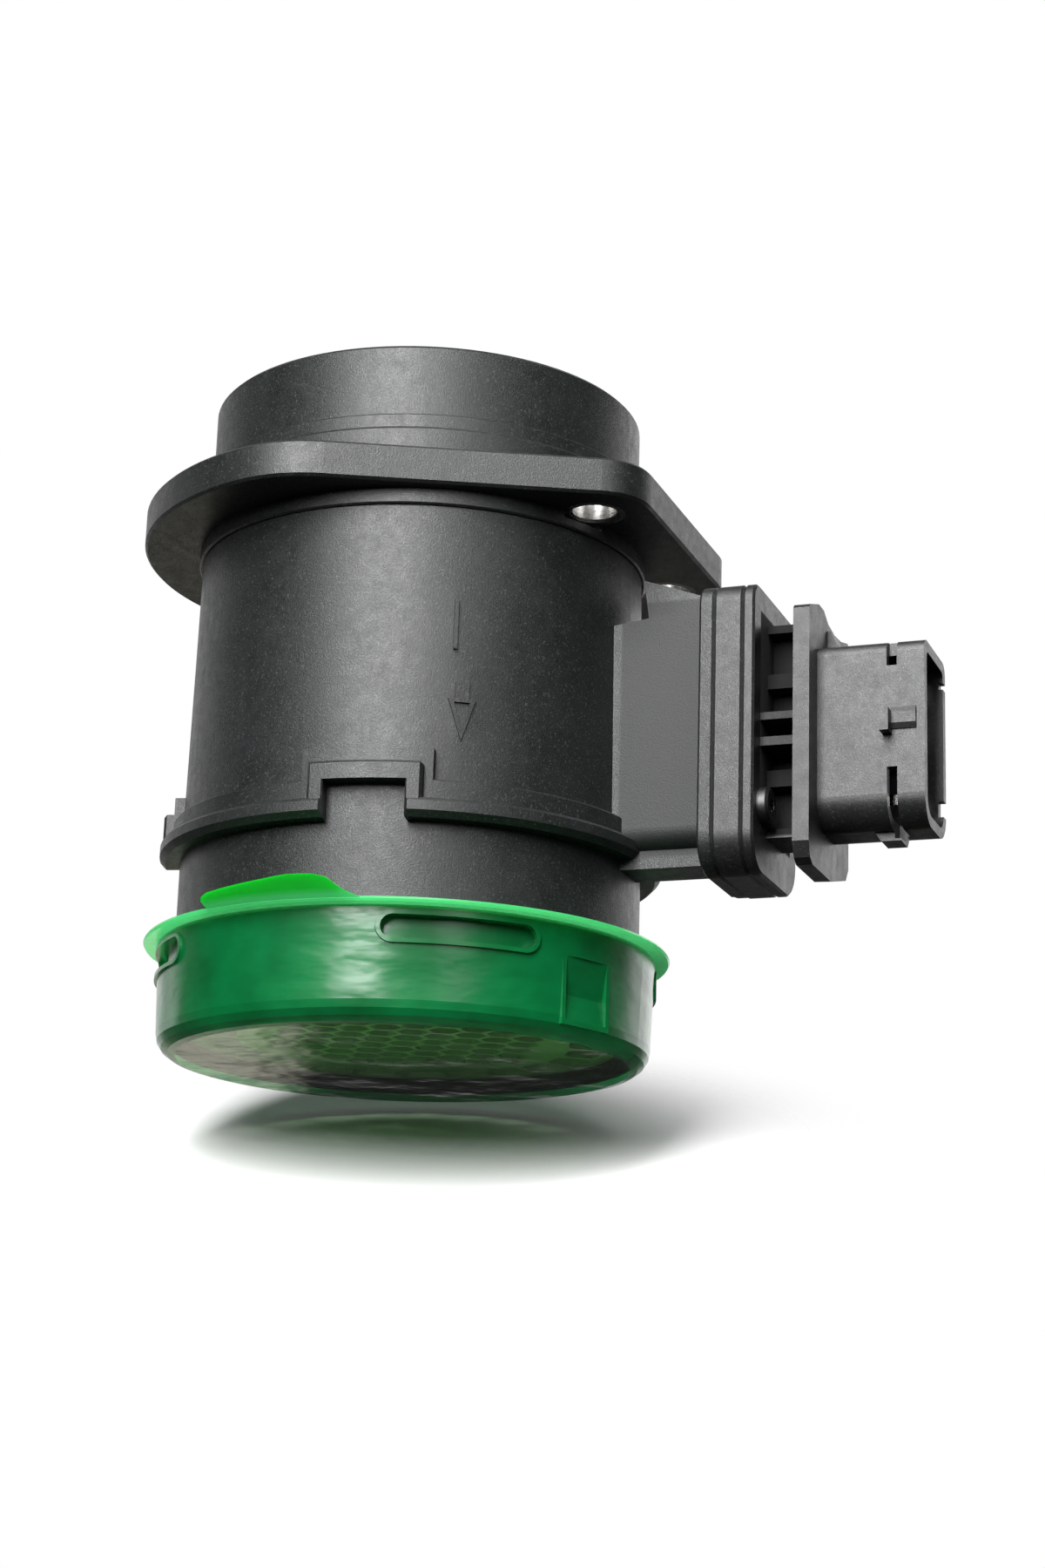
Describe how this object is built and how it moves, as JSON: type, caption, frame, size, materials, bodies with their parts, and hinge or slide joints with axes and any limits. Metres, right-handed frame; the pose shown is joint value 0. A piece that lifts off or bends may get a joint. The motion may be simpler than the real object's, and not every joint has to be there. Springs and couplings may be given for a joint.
{
  "type": "mass airflow sensor",
  "caption": "Moulded duct with a two-ear flange, a stepped key rim, a plug-in hot-film airflow sensor with a side connector, and a translucent push-on transport cap over the inlet.",
  "frame": {"origin": "middle of the flat foot of the transport cap, on the duct axis", "axes": "+Z along the duct axis towards the outlet spigot, +X towards the connector"},
  "size_m": [0.1246, 0.086, 0.102],
  "materials": {
    "black_plastic": "glass-filled moulding with a fine grain",
    "grille_plastic": "smooth moulding",
    "steel": "zinc plated",
    "seal_rubber": "soft matt",
    "plate_metal": "bare stamped sheet",
    "board_ceramic": "fired ceramic",
    "chip_plastic": "fine matt moulding",
    "capacitor_ceramic": "fired ceramic",
    "chip_glass": "polished chip surface",
    "terminal_metal": "tin plated",
    "green_plastic": "thin translucent moulding"
  },
  "bodies": {
    "root": {"tube_housing": "black_plastic", "flange_bush_near": "steel", "flange_bush_far": "steel", "inlet_grille": "grille_plastic", "adapter_frame": "black_plastic", "sensor_carrier": "black_plastic", "seal_ring": "seal_rubber", "base_plate": "plate_metal", "circuit_board": "board_ceramic", "signal_processor": "chip_plastic", "chip_capacitors": "capacitor_ceramic", "chip_holder": "chip_plastic", "flow_chip": "chip_glass", "electronics_cover": "black_plastic", "bypass_cover": "black_plastic", "terminal_1": "terminal_metal", "terminal_2": "terminal_metal", "terminal_3": "terminal_metal", "terminal_4": "terminal_metal", "terminal_5": "terminal_metal", "sensor_screws": "steel", "temperature_leads": "terminal_metal", "temperature_bead": "board_ceramic", "dust_cap": "green_plastic"}
  },
  "joints": []
}
